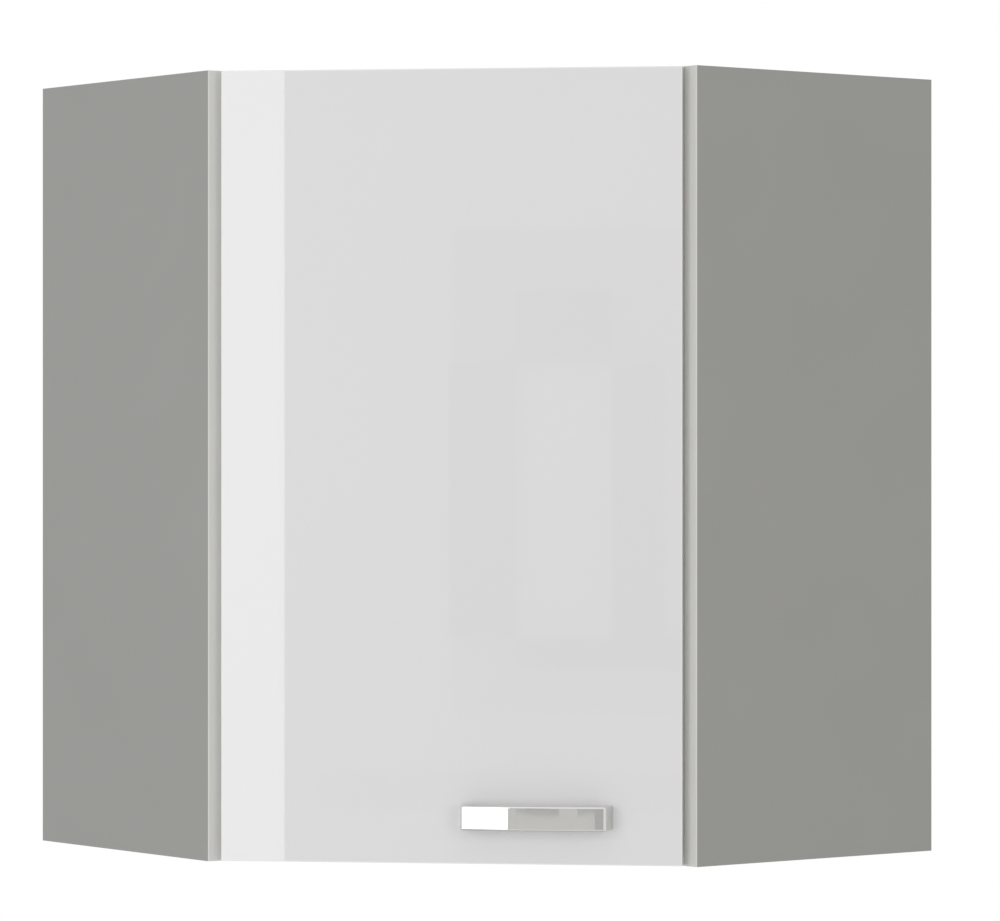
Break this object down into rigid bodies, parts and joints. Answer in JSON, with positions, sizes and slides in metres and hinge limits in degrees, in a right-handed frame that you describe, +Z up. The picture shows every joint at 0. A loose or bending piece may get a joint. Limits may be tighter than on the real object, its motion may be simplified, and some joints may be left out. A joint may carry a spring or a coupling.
{
  "type": "corner wall cabinet",
  "caption": "Diagonal kitchen wall cabinet for a room corner: grey board carcass with shelves and wall hangers, and a white gloss door on concealed hinges with a chrome bow handle.",
  "frame": {"origin": "where the back wall plane and the left wall plane meet, level with the underside of the cabinet", "axes": "+X along the back wall, -Y along the left wall, +Z up; the door looks along +X -Y"},
  "size_m": [0.6, 0.6, 0.72],
  "materials": {
    "grey_laminate": "grey melamine on chipboard, fine pearl texture",
    "grey_edge_band": "light grey ABS edge strip, satin",
    "grey_fibreboard": "light grey lacquered thin fibreboard",
    "white_gloss": "white high gloss faced board",
    "white_gloss_band": "white high gloss ABS edge strip",
    "chrome": "polished chrome plate on a zinc casting",
    "nickel_steel": "nickel plated pressed steel",
    "zinc_steel": "zinc plated steel",
    "zinc_casting": "raw zinc casting",
    "white_plastic": "moulded white plastic",
    "beech": "fluted beech dowel, drawn plain",
    "clear_silicone": "clear soft silicone"
  },
  "bodies": {
    "carcass": {"bottom_edge_band": "grey_edge_band", "bottom_panel": "grey_laminate", "cam_bolts": "zinc_steel", "cam_locks": "zinc_casting", "corner_post_screws": "zinc_steel", "hanger_adjusters": "zinc_steel", "hinge_arm_screws": "zinc_steel", "hinge_plate_screws": "zinc_steel", "left_back_board": "grey_fibreboard", "left_corner_post": "grey_laminate", "left_hanger_body": "white_plastic", "left_side_edge_band": "grey_edge_band", "left_side_panel": "grey_laminate", "lower_hinge_arm": "nickel_steel", "lower_hinge_plate": "nickel_steel", "lower_shelf": "grey_laminate", "lower_shelf_edge_band": "grey_edge_band", "lower_shelf_pins": "zinc_steel", "right_back_board": "grey_fibreboard", "right_corner_post": "grey_laminate", "right_hanger_body": "white_plastic", "right_side_edge_band": "grey_edge_band", "right_side_panel": "grey_laminate", "top_edge_band": "grey_edge_band", "top_panel": "grey_laminate", "upper_hinge_arm": "nickel_steel", "upper_hinge_plate": "nickel_steel", "upper_shelf": "grey_laminate", "upper_shelf_edge_band": "grey_edge_band", "upper_shelf_pins": "zinc_steel", "wooden_dowels": "beech"},
    "door": {"door_panel": "white_gloss", "door_edge_bands": "white_gloss_band", "handle": "chrome", "handle_screws": "zinc_steel", "door_bumpers": "clear_silicone", "lower_hinge_cup": "nickel_steel", "upper_hinge_cup": "nickel_steel", "hinge_pins": "nickel_steel", "hinge_cup_screws": "zinc_steel"},
    "left_hook": {"left_hanger_hook": "zinc_steel"},
    "right_hook": {"right_hanger_hook": "zinc_steel"}
  },
  "joints": [
    {"name": "door_swing", "type": "hinge", "parent": "carcass", "child": "door", "pos_m": [0.29761, -0.58372, 0.36], "axis": [0, 0, -1], "range_deg": [0, 100]},
    {"name": "left_hook_height", "type": "slide", "parent": "carcass", "child": "left_hook", "axis": [0, 0, 1], "range_m": [-0.005, 0.005]},
    {"name": "right_hook_height", "type": "slide", "parent": "carcass", "child": "right_hook", "axis": [0, 0, 1], "range_m": [-0.005, 0.005]}
  ]
}
